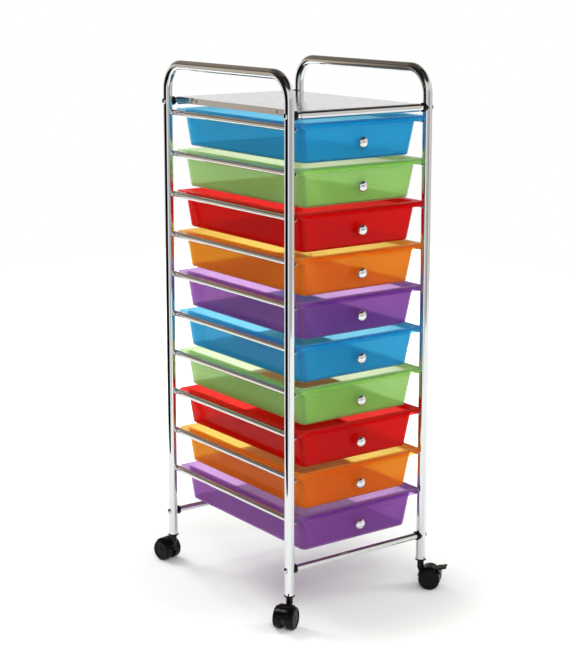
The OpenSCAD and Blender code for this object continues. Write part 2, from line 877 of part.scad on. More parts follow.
at_caster(1, 1, heading_rr) hood(false);  // caster_hood_rr
at_caster(-1, -1, heading_fl) axle();  // caster_axle_fl
at_caster(1, -1, heading_fr) axle();  // caster_axle_fr
at_caster(-1, 1, heading_rl) axle();  // caster_axle_rl
at_caster(1, 1, heading_rr) axle();  // caster_axle_rr
at_caster(-1, -1, heading_fl) wheel(1);  // wheel_a_fl
at_caster(1, -1, heading_fr) wheel(1);  // wheel_a_fr
at_caster(-1, 1, heading_rl) wheel(1);  // wheel_a_rl
at_caster(1, 1, heading_rr) wheel(1);  // wheel_a_rr
at_caster(-1, -1, heading_fl) wheel(-1);  // wheel_b_fl
at_caster(1, -1, heading_fr) wheel(-1);  // wheel_b_fr
at_caster(-1, 1, heading_rl) wheel(-1);  // wheel_b_rl
at_caster(1, 1, heading_rr) wheel(-1);  // wheel_b_rr
at_caster(-1, -1, heading_fl) brake_lever();  // brake_lever_fl
at_caster(1, -1, heading_fr) brake_lever();  // brake_lever_fr
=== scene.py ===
# %% [markdown]
# # Plastic drawer tower
# A rolling cart: two chromed hoops joined by crossbars carry ten plastic drawers on rails, a sheet tray
# on top and four swivel casters below. The solid parts come in as a fixed frame. This lesson gives them
# their finishes, and builds the pieces whose small roundings make them look moulded, turned or cast.

# %% Load the frame
import math

import bmesh
import bpy
from mathutils import Matrix, Vector


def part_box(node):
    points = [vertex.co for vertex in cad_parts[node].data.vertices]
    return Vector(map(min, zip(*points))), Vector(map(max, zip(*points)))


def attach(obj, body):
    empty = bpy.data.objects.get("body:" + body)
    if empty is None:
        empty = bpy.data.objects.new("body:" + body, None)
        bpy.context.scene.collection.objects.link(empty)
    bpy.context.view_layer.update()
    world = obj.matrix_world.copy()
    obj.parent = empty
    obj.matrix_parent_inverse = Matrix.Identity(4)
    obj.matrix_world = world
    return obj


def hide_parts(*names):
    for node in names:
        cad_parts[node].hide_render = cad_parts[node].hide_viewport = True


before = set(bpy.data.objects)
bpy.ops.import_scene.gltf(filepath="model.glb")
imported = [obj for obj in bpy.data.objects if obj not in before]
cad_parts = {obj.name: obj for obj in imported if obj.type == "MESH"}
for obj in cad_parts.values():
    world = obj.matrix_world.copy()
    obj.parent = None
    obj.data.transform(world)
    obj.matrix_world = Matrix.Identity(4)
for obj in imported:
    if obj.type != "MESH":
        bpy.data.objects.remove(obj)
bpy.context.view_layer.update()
MM = 0.001

# %% [markdown]
# ## Camera
# The photograph was taken from the front left, a little above the top tray, with a long lens. The view
# was cut out of a larger picture, so the lens axis meets the picture above its middle. A lens shift says
# that without tilting the uprights.

# %% Camera
camera = bpy.data.objects.new("camera", bpy.data.cameras.new("camera"))
bpy.context.scene.collection.objects.link(camera)
camera.location = (-1.7047, -2.3316, 1.1331)
LOOK_DOWN, LOOK_RIGHT = 10.24, 35.93  # degrees from level, and from straight at the back
camera.rotation_euler = (math.radians(90 - LOOK_DOWN), 0, math.radians(-LOOK_RIGHT))
camera.data.sensor_width = 36
camera.data.lens = 85.9
camera.data.shift_y = -0.1197
bpy.context.scene.camera = camera
print("camera:", round(camera.data.lens, 1), "mm lens,", round(camera.location.length, 2),
      "m from the cart's foot")

# %% [markdown]
# ## Colours and nodes
# Colours are written as sRGB hex values, as a paint shop or a web page names them. Shaders work in linear
# light, so one function turns them. One more function adds a node with its settings and links, which
# keeps each material to a few readable lines.

# %% One colour function
def linear_rgb(code):
    """'#rrggbb' in sRGB to linear RGB with alpha."""
    levels = [int(code[i:i + 2], 16) / 255 for i in (1, 3, 5)]
    return (*[v / 12.92 if v <= 0.04045 else ((v + 0.055) / 1.055) ** 2.4 for v in levels], 1.0)


print("mid grey #808080 is", round(linear_rgb("#808080")[0], 3), "in linear light")


# %% One function that adds a node
def add_node(tree, kind, values=None, links=None, **settings):
    """A new node: settings are its properties, values set its inputs, links feed them."""
    node = tree.nodes.new(kind)
    for name, value in settings.items():
        setattr(node, name, value)
    for name, value in (values or {}).items():
        node.inputs[name].default_value = value
    for name, source in (links or {}).items():
        tree.links.new(source, node.inputs[name])
    return node


def new_material(name):
    """An empty node material and its tree."""
    material = bpy.data.materials.new(name)
    material.use_nodes = True
    material.node_tree.nodes.clear()
    return material, material.node_tree


# %% [markdown]
# ## Studio
# A cart like this is photographed on a white paper sweep. Chrome shows the whole room, so the room matters
# more than the lamps: white paper behind, a dark side of the studio to the left, a bright window to the
# front left, and a cream wall to the right. That is what gives each upright its black band, its white
# line and its cream side. The world shows this room to glossy rays only, as four bands of height, each
# with its own colours round the compass. Everything else gets plain soft white light.

# %% The room as bands of colour
# Each stop is (compass degrees anticlockwise from +X, colour), from -180 to 180.
ROOM_BANDS = {
    "far_floor": [(-180, "#141515"), (-160, "#141515"), (-150, "#dcdcdb"), (88, "#e8e8e7"),
                  (106, "#35393a"), (124, "#6a6c69"), (136, "#141515"), (180, "#141515")],
    "floor_level": [(-180, "#0b0b0c"), (-163, "#0b0b0c"), (-157, "#fdfdfd"), (-140, "#fdfdfd"),
                    (-134, "#b9bcbf"), (-96, "#c3c3c2"), (-91, "#1d1b1a"), (-86, "#1d1b1a"),
                    (-80, "#dedbd3"), (6, "#d6d1c6"), (16, "#efefef"), (115, "#f2f2f2"),
                    (120, "#cbc1b0"), (127, "#bdb2a0"), (131, "#2a2826"), (136, "#0b0b0c"),
                    (180, "#0b0b0c")],
    "wall": [(-180, "#24211f"), (-165, "#3a3632"), (-150, "#f4f2ee"), (-100, "#dcd8d0"), (-40, "#e9e5dc"),
             (0, "#efede8"), (26, "#d9d6d0"), (40, "#857c6f"), (105, "#8a8072"), (128, "#504a43"),
             (140, "#24211f"), (180, "#24211f")],
    "ceiling": [(-180, "#1b1a19"), (-120, "#4b4845"), (-60, "#191817"), (0, "#171615"), (30, "#77706a"),
                (60, "#5f574e"), (120, "#4a443d"), (180, "#1b1a19")],
}
world = bpy.data.worlds.new("studio")
world.use_nodes = True
bpy.context.scene.world = world
room = world.node_tree
room.nodes.clear()
toward = add_node(room, "ShaderNodeTexCoord")
height = add_node(room, "ShaderNodeSeparateXYZ", links={0: toward.outputs["Generated"]})
compass = add_node(room, "ShaderNodeTexGradient", links={0: toward.outputs["Generated"]},
                   gradient_type="RADIAL")
bands = []
for name, stops in ROOM_BANDS.items():
    band = add_node(room, "ShaderNodeValToRGB", links={0: compass.outputs["Fac"]}, label=name)
    for degrees, _ in stops[1:-1]:
        band.color_ramp.elements.new(degrees / 360 + 0.5)
    for element, (degrees, code) in zip(band.color_ramp.elements, stops):
        element.position = degrees / 360 + 0.5
        element.color = linear_rgb(code)
    bands.append(band)
print("room:", [len(band.color_ramp.elements) for band in bands], "stops in", len(bands), "bands")

# %% World
# The far floor ends 17 to 25 degrees below the level. The wall starts 9 to 13 degrees above it, and the
# ceiling 33 to 42 degrees. The numbers are the sines of these angles, where one band turns into the next.
BAND_EDGES = [(-0.42, -0.30), (0.155, 0.225), (0.54, 0.67)]
FILL_STRENGTH = 0.62
whole_room = bands[0].outputs[0]
for (low, high), band in zip(BAND_EDGES, bands[1:]):
    above = add_node(room, "ShaderNodeMapRange", {1: low, 2: high}, {0: height.outputs["Z"]})
    joined = add_node(room, "ShaderNodeMix", links={0: above.outputs[0], 6: whole_room, 7: band.outputs[0]},
                      data_type="RGBA")
    whole_room = joined.outputs[2]
ray = add_node(room, "ShaderNodeLightPath")
fill_light = add_node(room, "ShaderNodeBackground", {0: linear_rgb("#ffffff"), 1: FILL_STRENGTH})
white_paper = add_node(room, "ShaderNodeBackground", {0: linear_rgb("#ffffff"), 1: 1.0})
mirrored = add_node(room, "ShaderNodeBackground", {1: 1.0}, {0: whole_room})
seen_or_through = add_node(room, "ShaderNodeMath", links={
    0: ray.outputs["Is Camera Ray"], 1: ray.outputs["Is Transmission Ray"]}, operation="MAXIMUM")
plain = add_node(room, "ShaderNodeMixShader", links={
    0: seen_or_through.outputs[0], 1: fill_light.outputs[0], 2: white_paper.outputs[0]})
reflected = add_node(room, "ShaderNodeMath", links={
    0: ray.outputs["Is Glossy Ray"], 1: ray.outputs["Is Transmission Ray"]},
    operation="SUBTRACT", use_clamp=True)
studio = add_node(room, "ShaderNodeMixShader", links={
    0: reflected.outputs[0], 1: plain.outputs[0], 2: mirrored.outputs[0]})
add_node(room, "ShaderNodeOutputWorld", links={0: studio.outputs[0]})
print("world:", len(room.nodes), "nodes")

# %% Paper floor
# Matt paper. Its tooth repeats 900 times over the sheet, every 4 to 6 mm, coarser than it is so that it can
# show. Near the cart the paper keeps its shadow, and further out a glow lifts what is seen to white.
TOOTH_REPEATS = 900.0
CART_MIDDLE = (0.05, 0.05, 0.0)
GLOW_STARTS, GLOW_FULL = 0.30, 0.66  # metres from the cart's middle
GLOW_NEAR, GLOW_FAR = 0.03, 0.72  # strengths
paper_material, paper = new_material("white_paper_sweep")
grain = add_node(paper, "ShaderNodeTexNoise", {"Scale": TOOTH_REPEATS, "Detail": 2.0})
paper_bump = add_node(paper, "ShaderNodeBump", {"Strength": 0.05, "Distance": 0.0002},
                      {"Height": grain.outputs[0]})
# The faint green in the paper's colour is a painted counter-tint to the light: it cancels the purple that
# light picks up through the drawers on its way to the floor.
paper_face = add_node(paper, "ShaderNodeBsdfDiffuse", {"Color": linear_rgb("#edf0ed")},
                      {"Normal": paper_bump.outputs[0]})
paper_place = add_node(paper, "ShaderNodeTexCoord")
from_cart = add_node(paper, "ShaderNodeVectorMath", {1: CART_MIDDLE}, {0: paper_place.outputs["Object"]},
                     operation="DISTANCE")
lift_level = add_node(paper, "ShaderNodeMapRange",
                      {1: GLOW_STARTS, 2: GLOW_FULL, 3: GLOW_NEAR, 4: GLOW_FAR},
                      {0: from_cart.outputs["Value"]}, interpolation_type="SMOOTHSTEP")
paper_lift = add_node(paper, "ShaderNodeEmission", {"Color": linear_rgb("#ffffff")},
                      {"Strength": lift_level.outputs[0]})
paper_sum = add_node(paper, "ShaderNodeAddShader", links={0: paper_face.outputs[0],
                                                         1: paper_lift.outputs[0]})
paper_ray = add_node(paper, "ShaderNodeLightPath")
paper_seen = add_node(paper, "ShaderNodeMath", links={
    0: paper_ray.outputs["Is Camera Ray"], 1: paper_ray.outputs["Is Transmission Ray"]}, operation="MAXIMUM")
paper_mix = add_node(paper, "ShaderNodeMixShader", links={
    0: paper_seen.outputs[0], 1: paper_face.outputs[0], 2: paper_sum.outputs[0]})
add_node(paper, "ShaderNodeOutputMaterial", links={0: paper_mix.outputs[0]})
x0, y0, x1, y1 = -0.85, -2.4, 2.6, 3.2
paper_mesh = bpy.data.meshes.new("paper_floor")
paper_mesh.from_pydata([(x0, y0, 0), (x1, y0, 0), (x1, y1, 0), (x0, y1, 0)], [], [(0, 1, 2, 3)])
paper_mesh.materials.append(paper_material)
paper_floor = bpy.data.objects.new("paper_floor", paper_mesh)
bpy.context.scene.collection.objects.link(paper_floor)
print("paper:", x1 - x0, "x", y1 - y0, "m")

# %% Lamps
# Each softbox is (place, what it is aimed at, side in metres, watts). Reflections and clear plastic don't
# show the lamps, since the chrome would turn each of them into a white streak.
SOFTBOXES = {"key_softbox": ((-1.5, -2.6, 2.5), (0, 0, 0.5), 1.4, 50),
             "side_softbox": ((2.4, -1.5, 1.9), (0, 0, 0.5), 1.2, 28),
             "back_softbox": ((-0.5, 2.8, 2.6), (0, 0, 0.2), 1.6, 85)}
for name, (place, aim, size, power) in SOFTBOXES.items():
    light = bpy.data.lights.new(name, "AREA")
    light.size = size
    light.energy = power
    lamp = bpy.data.objects.new(name, light)
    lamp.location = place
    lamp.rotation_euler = (Vector(place) - Vector(aim)).to_track_quat("Z", "Y").to_euler()
    lamp.visible_glossy = lamp.visible_transmission = False
    bpy.context.scene.collection.objects.link(lamp)
bpy.context.scene.view_settings.view_transform = "Standard"
print("lamps:", len(SOFTBOXES), "softboxes")

# %% [markdown]
# ## Chrome
# The tubes are bent steel, polished and plated with chromium. The plating is a few thousandths of a
# millimetre thick and copies the steel under it, so it mirrors the room almost sharply, with the faint
# long ripple that a drawn tube keeps. Metallic is 1 and the roughness is near 0.05. The ripple is about
# 20 mm long, far too shallow to feel.

# %% Chrome plate
def chrome(name, code, roughness, ripple_mm, ripple_depth):
    """Plated or polished metal whose surface keeps a slight ripple, under a faint uneven haze."""
    haze_mm = 9.0
    material, tree = new_material(name)
    where = add_node(tree, "ShaderNodeTexCoord")
    haze = add_node(tree, "ShaderNodeTexNoise", {"Scale": 1000 / haze_mm, "Detail": 3.0},
                    {"Vector": where.outputs["Object"]})
    rough = add_node(tree, "ShaderNodeMapRange", {1: 0.3, 2: 0.75, 3: roughness * 0.7, 4: roughness * 1.5},
                     {0: haze.outputs[0]})
    ripple = add_node(tree, "ShaderNodeTexNoise", {"Scale": 1000 / ripple_mm, "Detail": 1.0},
                      {"Vector": where.outputs["Object"]})
    bump = add_node(tree, "ShaderNodeBump", {"Strength": 0.35, "Distance": ripple_depth * MM},
                    {"Height": ripple.outputs[0]})
    face = add_node(tree, "ShaderNodeBsdfPrincipled",
                    {"Base Color": linear_rgb(code), "Metallic": 1.0},
                    {"Roughness": rough.outputs[0], "Normal": bump.outputs[0]})
    add_node(tree, "ShaderNodeOutputMaterial", links={0: face.outputs[0]})
    return material


tube_chrome = chrome("chrome_plated_tube", "#e6e7e9", 0.045, 22.0, 0.05)
sheet_chrome = chrome("chrome_plated_sheet", "#e0dfe3", 0.13, 60.0, 0.12)
knob_chrome = chrome("polished_chrome_knob", "#ecedef", 0.035, 12.0, 0.02)
bolt_chrome = chrome("bright_plated_bolt", "#d5d6d8", 0.09, 6.0, 0.02)
zinc = chrome("zinc_plated_steel", "#aeb1b5", 0.30, 5.0, 0.03)
print("tube chrome:", len(tube_chrome.node_tree.nodes), "nodes")

# %% [markdown]
# ## Black mouldings
# The saddles, sockets and caster hoods are nylon or ABS, moulded in a mould with an etched grain of a third
# to half a millimetre, which breaks up the shine. The wheels are nylon too, and a little duller.

# %% Black plastic
def black_plastic(name, code, worn, roughness, shine, grain_mm, grain_depth):
    """Moulded black plastic: etched grain, and a slightly lighter shade in soft blotches."""
    blotch_mm = 7.0
    material, tree = new_material(name)
    where = add_node(tree, "ShaderNodeTexCoord")
    blotch = add_node(tree, "ShaderNodeTexNoise", {"Scale": 1000 / blotch_mm, "Detail": 4.0},
                      {"Vector": where.outputs["Object"]})
    shade = add_node(tree, "ShaderNodeMix", {6: linear_rgb(code), 7: linear_rgb(worn)},
                     {0: blotch.outputs[0]}, data_type="RGBA")
    grit = add_node(tree, "ShaderNodeTexNoise", {"Scale": 1000 / grain_mm, "Detail": 2.0},
                    {"Vector": where.outputs["Object"]})
    bump = add_node(tree, "ShaderNodeBump", {"Strength": 0.4, "Distance": grain_depth * MM},
                    {"Height": grit.outputs[0]})
    rough = add_node(tree, "ShaderNodeMapRange", {1: 0.3, 2: 0.7, 3: roughness * 0.85, 4: roughness * 1.2},
                     {0: blotch.outputs[0]})
    face = add_node(tree, "ShaderNodeBsdfPrincipled", {"IOR": 1.53, "Specular IOR Level": shine},
                    {"Base Color": shade.outputs[2], "Roughness": rough.outputs[0],
                     "Normal": bump.outputs[0]})
    add_node(tree, "ShaderNodeOutputMaterial", links={0: face.outputs[0]})
    return material


black_abs = black_plastic("moulded_black_abs", "#060607", "#0d0d0e", 0.22, 0.16, 0.4, 0.02)
black_nylon = black_plastic("moulded_black_nylon", "#070708", "#101011", 0.26, 0.2, 0.35, 0.02)
wheel_nylon = black_plastic("caster_wheel_nylon", "#060606", "#101010", 0.34, 0.12, 0.5, 0.02)
print("wheel nylon:", len(wheel_nylon.node_tree.nodes), "nodes")

# %% [markdown]
# ## Tinted polystyrene
# The drawers are injection-moulded polystyrene, 2 mm thick, tinted and slightly milky. One wall alone looks
# pale, as above the front lips, and each more wall behind it deepens the colour. Glass would show that
# too, but rough glass takes many samples to come out clean. So each face lets a share of the light pass
# straight through, tinted. The rest of the face is half pigment, with a thin glossy coat, and half a glow
# that lets light from behind through softly, as milky plastic does.

# %% Drawer plastic
MILK, MILK_SWING = 0.47, 0.4  # the share of light that a face keeps, and how far edge_depth_and_painted_lift moves it
GLOW_SHARE, DRIFT_SHARE = 0.48, 0.12
DRIFT_MM, SINK_MM, HANDLING_MM = 120.0, 45.0, 16.0  # uneven tint, shallow sinks, and wear of the gloss


def drawer_plastic(name, pigment, edge, passed, glow):
    """Milky tinted plastic: pigment, deeper edges, tint of what passes one face, glow from behind.
    The attribute edge_depth_and_painted_lift, from -1 to 1, is set on the mesh. Below 0 it is painted light:
    a face made clearer, and so lighter."""
    material, tree = new_material(name)
    where = add_node(tree, "ShaderNodeTexCoord")
    drift = add_node(tree, "ShaderNodeTexNoise", {"Scale": 1000 / DRIFT_MM, "Detail": 1.0},
                     {"Vector": where.outputs["Object"]})
    drifted = add_node(tree, "ShaderNodeMapRange", {1: 0.3, 2: 0.75, 3: 0.0, 4: 1.0}, {0: drift.outputs[0]})
    tint_and_lift_attribute = add_node(tree, "ShaderNodeAttribute", attribute_name="edge_depth_and_painted_lift")
    toward_edge = add_node(tree, "ShaderNodeMath", {1: DRIFT_SHARE}, {0: drifted.outputs[0]},
                           operation="MULTIPLY")
    deepening_and_painted_lift = add_node(tree, "ShaderNodeMath", operation="ADD",
                         links={0: tint_and_lift_attribute.outputs["Fac"], 1: toward_edge.outputs[0]})
    tint = add_node(tree, "ShaderNodeMix", {6: linear_rgb(pigment), 7: linear_rgb(edge)},
                    {0: deepening_and_painted_lift.outputs[0]}, data_type="RGBA")
    sink = add_node(tree, "ShaderNodeTexNoise", {"Scale": 1000 / SINK_MM, "Detail": 0.0},
                    {"Vector": where.outputs["Object"]})
    bump = add_node(tree, "ShaderNodeBump", {"Strength": 0.3, "Distance": 0.15 * MM},
                    {"Height": sink.outputs[0]})
    handling = add_node(tree, "ShaderNodeTexNoise", {"Scale": 1000 / HANDLING_MM, "Detail": 5.0},
                        {"Vector": where.outputs["Object"]})
    rough = add_node(tree, "ShaderNodeMapRange", {1: 0.35, 2: 0.75, 3: 0.12, 4: 0.18},
                     {0: handling.outputs[0]})
    face = add_node(tree, "ShaderNodeBsdfPrincipled",
                    {"IOR": 1.5, "Specular IOR Level": 0.3, "Coat Weight": 0.2, "Coat Roughness": 0.03,
                     "Coat IOR": 1.5},
                    {"Base Color": tint.outputs[2], "Roughness": rough.outputs[0],
                     "Normal": bump.outputs[0]})
    clear = add_node(tree, "ShaderNodeBsdfTransparent", {"Color": linear_rgb(passed)})
    share = add_node(tree, "ShaderNodeMapRange",
                     {1: -1.0, 2: 1.0, 3: MILK - MILK_SWING, 4: MILK + MILK_SWING},
                     {0: deepening_and_painted_lift.outputs[0]})
    backlit = add_node(tree, "ShaderNodeBsdfTranslucent", {"Color": linear_rgb(glow)})
    milky = add_node(tree, "ShaderNodeMixShader", {0: GLOW_SHARE},
                     {1: face.outputs[0], 2: backlit.outputs[0]})
    both = add_node(tree, "ShaderNodeMixShader", links={0: share.outputs[0], 1: clear.outputs[0],
                                                        2: milky.outputs[0]})
    add_node(tree, "ShaderNodeOutputMaterial", links={0: both.outputs[0]})
    return material


drawer_plastics = [
    drawer_plastic("blue_polystyrene", "#04a8de", "#02448e", "#ccf8ff", "#98e0ff"),
    drawer_plastic("green_polystyrene", "#86d846", "#26751e", "#fcfff0", "#f2ffe0"),
    drawer_plastic("red_polystyrene", "#dc050a", "#780206", "#ff948e", "#ff4e46"),
    drawer_plastic("orange_polystyrene", "#fa620a", "#ac2a05", "#fff6ba", "#ffe68c"),
    drawer_plastic("purple_polystyrene", "#4c2292", "#220a58", "#f9deff", "#ecccec"),
]
# A line of sight crosses up to twenty of the drawers' faces, more than the default limit lets through.
bpy.context.scene.cycles.transparent_max_bounces = 32
print("drawer plastics:", len(drawer_plastics))

# %% [markdown]
# ## Finishing the frame's own solids
# The hoops, rails, crossbars and small steel pieces already have their true curves, so they only need a
# finish. A node's name says what it is, and the first word that matches picks the material.

# %% Dress the solids
NODE_FINISH = [("hoop", tube_chrome), ("rails", tube_chrome), ("crossbar_saddles", black_abs),
               ("crossbar_plugs", zinc), ("crossbar", tube_chrome), ("frame_bolts", bolt_chrome),
               ("top_tray", sheet_chrome), ("tray_braces", sheet_chrome), ("tray_rivets", bolt_chrome),
               ("knob", knob_chrome), ("caster_sockets", black_abs), ("caster_stem", zinc),
               ("caster_axle", zinc), ("caster_hood", black_nylon), ("brake_lever", black_nylon),
               ("wheel", wheel_nylon)]
for name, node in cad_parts.items():
    for start, material in NODE_FINISH:
        if name.startswith(start):
            break
    else:
        material = drawer_plastics[(int(name.split("_")[1]) - 1) % len(drawer_plastics)]
    node.data.materials.clear()
    node.data.materials.append(material)
print("dressed:", len(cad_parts), "solids")

# %% [markdown]
# ## Making smooth pieces
# A moulding's look is in its small roundings, because that is where a highlight sits. The next helpers
# join rings of points into a closed skin, turn a profile round an axis, and hand the result to the frame.
# Weighted normals keep the flats flat while the roundings stay soft.

# %% Mesh helpers
def skin(mesh, rings, edge_depth_and_painted_lift):
    """Faces between one ring of points and the next, with the first and last rings capped. edge_depth_and_painted_lift
    gives the value that each point keeps in the attribute of that name."""
    layer = mesh.verts.layers.float.new("edge_depth_and_painted_lift")
    made = [[mesh.verts.new(p) for p in ring] for ring in rings]
    for ring in made:
        for vert in ring:
            vert[layer] = edge_depth_and_painted_lift(vert.co)
    count = len(made[0])
    for low, high in zip(made, made[1:]):
        for i in range(count):
            j = (i + 1) % count
            mesh.faces.new((low[i], low[j], high[j], high[i]))
    mesh.faces.new(list(reversed(made[0])))
    mesh.faces.new(made[-1])


def turn(mesh, profile, place, steps):
    """Turns a profile of (radius, height) round +Z; a radius of 0 makes a pole."""
    rows = []
    for radius, height in profile:
        if radius < 1e-9:
            rows.append([mesh.verts.new(place @ Vector((0, 0, height)))])
        else:
            rows.append([mesh.verts.new(place @ Vector((radius * math.cos(math.tau * k / steps),
                                                        radius * math.sin(math.tau * k / steps), height)))
                         for k in range(steps)])
    for low, high in zip(rows, rows[1:]):
        for k in range(steps):
            m = (k + 1) % steps
            corners = [low[k % len(low)], low[m % len(low)], high[m % len(high)], high[k % len(high)]]
            corners = list(dict.fromkeys(corners))
            if len(corners) > 2:
                mesh.faces.new(corners)


def arc(centre_r, centre_z, radius, start, end, steps=5):
    """Points of an arc in a profile, angles in degrees from the +radius direction."""
    return [(centre_r + radius * math.cos(math.radians(start + (end - start) * k / steps)),
             centre_z + radius * math.sin(math.radians(start + (end - start) * k / steps)))
            for k in range(steps + 1)]


def piece(name, mesh, material, body, node):
    """Makes an object of a mesh, smooths it, and hands it to the frame in place of a node."""
    bmesh.ops.recalc_face_normals(mesh, faces=mesh.faces)
    data = bpy.data.meshes.new(name)
    mesh.to_mesh(data)
    mesh.free()
    data.materials.append(material)
    data.shade_smooth()
    obj = bpy.data.objects.new(name, data)
    bpy.context.scene.collection.objects.link(obj)
    smooth = obj.modifiers.new("weighted_normals", "WEIGHTED_NORMAL")
    smooth.weight = 80
    smooth.keep_sharp = True
    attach(obj, body)
    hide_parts(node)


# %% [markdown]
# ## Drawers
# Each drawer is one tapered shell. A flat lip runs all round: its sides lie on the rails, and its front
# edge is turned down by 9.5 mm and wraps both front corners. The shell is a stack of rings, from the
# middle of its floor up the inside, over the lip and down the outside, and the fillets are arcs of
# 1 to 4 mm. The solids' boxes give the place, so the shells sit exactly where the frame has them.

# %% Drawer rings
LIP_HALF_W, LIP_FRONT, LIP_REAR, LIP_R, LIP_T = 140.05, -198.5, 181.0, 6.0, 2.5
SKIRT_DROP, SKIRT_T = 9.5, 2.2
RISE_START, RISE_LENGTH = 2.5, 6.0  # where the skirt starts to rise behind the front, and over how much
SKIRT_ROUND = [(0.0, 0.6), (0.15, 0.25), (0.5, 0.0)]  # (inset, lift) round its lower edge
RIM_LINE = 2.5  # the dark line along the lip's front edge reaches this far down
PAST_CORNER, FRONT_POINT = 2.5, 20  # extra points: behind the front corners, and in along the front
BODY_HALF_W, BODY_FRONT, BODY_REAR, BODY_R, BODY_DEPTH = 126.55, -192.0, 176.5, 10.0, 69.3
SIDE_TAPER, FRONT_TAPER, REAR_TAPER, WALL, EDGE_R = 11.0, 8.0, 2.5, 2.0, 4.0
TIGHTEN = 0.6  # how much a ring's corners tighten for each millimetre that the ring is drawn in


def round_ring(half_w, front, rear, radius, depth, steps=7):
    """A rectangle with round corners, depth millimetres below the lip's top; depth may be a function of y.
    Extra points end the skirt's rise behind each front corner, and keep the tint of the front's middle
    apart from that of the corners."""
    points = []
    for cx, cy, turn_from in ((half_w - radius, rear - radius, 0), (radius - half_w, rear - radius, 90),
                              (radius - half_w, front + radius, 180), (half_w - radius, front + radius, 270)):
        if turn_from == 180:
            points.append((-half_w, front + radius + PAST_CORNER))
        if turn_from == 270:
            points += [(FRONT_POINT - half_w, front), (half_w - FRONT_POINT, front)]
        for k in range(steps + 1):
            a = math.radians(turn_from + 90 * k / steps)
            points.append((cx + radius * math.cos(a), cy + radius * math.sin(a)))
    points.append((half_w, front + radius + PAST_CORNER))
    at = depth if callable(depth) else (lambda y: depth)
    return [Vector((x * MM, y * MM, -at(y) * MM)) for x, y in points]


def lip_ring(inset, depth):
    """A ring along the lip's outer edge."""
    return round_ring(LIP_HALF_W - inset, LIP_FRONT + inset, LIP_REAR - inset,
                      LIP_R - TIGHTEN * inset, depth)


def body_ring(depth, inset):
    """A ring of the tapered body at a depth, drawn in by inset."""
    t = depth / BODY_DEPTH
    return round_ring(BODY_HALF_W - t * SIDE_TAPER - inset, BODY_FRONT + t * FRONT_TAPER + inset,
                      BODY_REAR - t * REAR_TAPER - inset, BODY_R - TIGHTEN * inset, depth)


def skirt_depth(lift):
    """How far down the lip's edge reaches: the front skirt, rising to the plain lip past the corners."""
    def at(y):
        back = min(max((y - LIP_FRONT - RISE_START) / RISE_LENGTH, 0.0), 1.0)
        return LIP_T + (SKIRT_DROP - LIP_T) * (1 - back * back * (3 - 2 * back)) - lift
    return at


def fillet(radius, steps=4):
    """(across, down) steps of a quarter round, from the flat to the wall."""
    return [(radius * math.sin(math.radians(90 * k / steps)),
             radius * (1 - math.cos(math.radians(90 * k / steps)))) for k in range(steps + 1)]


def drawer_rings():
    """All rings of a drawer, from the inside floor over the lip to the outside floor."""
    floor_r, top_r, edge_r, root_r = 3.0, 1.0, 1.0, 1.2
    floor = BODY_DEPTH - WALL
    rings = [body_ring(floor, WALL + floor_r + 4.0)]
    rings += [body_ring(floor - down, WALL + floor_r - across) for across, down in fillet(floor_r)]
    rings += [body_ring(floor - floor_r - 1.0, WALL), body_ring(top_r + 1.0, WALL)]
    rings += [body_ring(top_r - across, WALL - down) for across, down in fillet(top_r)]
    rings += [body_ring(0.0, WALL - top_r - 0.3), lip_ring(edge_r + 0.3, 0.0)]
    rings += [lip_ring(edge_r - across, down) for across, down in fillet(edge_r)]
    rings += [lip_ring(0.0, lambda y: min(RIM_LINE - 0.3, skirt_depth(0.75)(y))),
              lip_ring(0.0, lambda y: min(RIM_LINE + 0.4, skirt_depth(0.67)(y)))]
    rings += [lip_ring(inset, skirt_depth(lift)) for inset, lift in SKIRT_ROUND]
    rings += [lip_ring(SKIRT_T - inset, skirt_depth(lift)) for inset, lift in reversed(SKIRT_ROUND[1:])]
    rings += [lip_ring(SKIRT_T, lambda y: max(skirt_depth(0.6)(y), LIP_T - 0.1)),
              lip_ring(SKIRT_T + 0.2, LIP_T)]
    rings += [body_ring(LIP_T + down, across - root_r) for across, down in fillet(root_r)]
    rings += [body_ring(LIP_T + root_r + 1.0, 0.0), body_ring(BODY_DEPTH - EDGE_R - 1.0, 0.0)]
    rings += [body_ring(BODY_DEPTH - EDGE_R + across, down) for across, down in fillet(EDGE_R, 6)]
    rings += [body_ring(BODY_DEPTH, EDGE_R + 4.0)]
    return rings


SKIRT_REACH, OUTSIDE = 9, 1.5  # the skirt's length behind the front, and how far it is off the body
# Painted light: SKIRT_PAINTED_LIFT, below 0, makes the skirt over the wall clearer and so lighter, lifting
# the shade in the unlit gap behind it.
SKIRT_PAINTED_LIFT, SKIRT_FREE = -0.7, 0.5  # the skirt's tint over the wall, and beside it
FREE_FROM, FREE_OVER = -2, 5  # where one turns into the other, from the body's side outwards
RIM_TINT, CORNER_TINT, CORNER_REACH = 1.0, 0.75, 9  # the corner's tint fades over its reach
LOW_EDGE, LOW_EDGE_REACH = 67.2, 3.2  # how far down the walls turn into the floor, and mm either way


